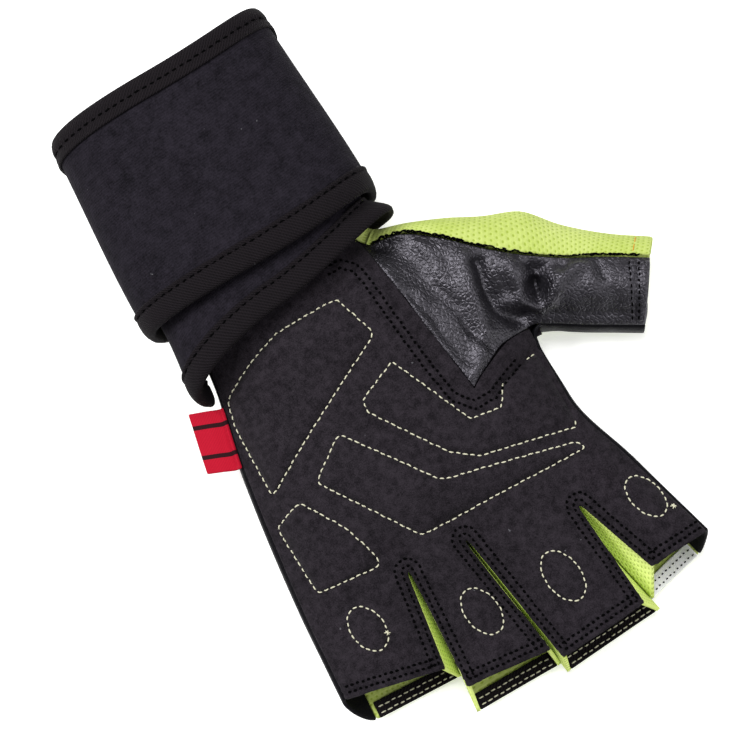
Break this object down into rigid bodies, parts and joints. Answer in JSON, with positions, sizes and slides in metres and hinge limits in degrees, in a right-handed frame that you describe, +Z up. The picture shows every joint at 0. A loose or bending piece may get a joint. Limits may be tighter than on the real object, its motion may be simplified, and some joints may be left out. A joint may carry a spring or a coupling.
{
  "type": "weightlifting glove",
  "caption": "Fingerless padded weightlifting glove with suede palm, mesh back, leather thumb and a long neoprene wrist strap wound around the wrist.",
  "frame": {"origin": "centre of the bounding box on the surface that the glove lies on", "axes": "+X towards the thumb, +Y from the fingers to the wrist opening, +Z up out of the palm"},
  "size_m": [0.1572, 0.2246, 0.0494],
  "materials": {
    "suede": "matt charcoal suede with a short nap",
    "suede_pad": "matt charcoal suede over thin foam",
    "mesh_lime": "perforated spacer mesh, lime",
    "leather_black": "glossy black grained leather",
    "neoprene": "black neoprene with a fine ribbed knit face",
    "tape": "black woven binding tape",
    "band_white": "off-white woven tape",
    "woven_red": "red satin-woven label tape"
  },
  "bodies": {
    "root": {"palm_panel": "suede", "back_panel": "mesh_lime", "side_ulnar": "leather_black", "side_radial": "leather_black", "thumb_front": "leather_black", "thumb_back": "mesh_lime", "fourchette_little_ring": "mesh_lime", "fourchette_ring_middle": "mesh_lime", "fourchette_middle_index": "mesh_lime", "pad_heel": "suede_pad", "pad_upper": "suede_pad", "pad_lower": "suede_pad", "pad_small": "suede_pad", "pad_little": "suede_pad", "pad_ring": "suede_pad", "pad_middle": "suede_pad", "pad_index": "suede_pad", "band_little": "tape", "band_ring": "tape", "band_middle": "tape", "band_index": "band_white", "wrap_strap": "neoprene", "wrap_binding_low": "tape", "wrap_binding_high": "tape", "closure_patch": "tape", "side_tag": "woven_red"}
  },
  "joints": []
}
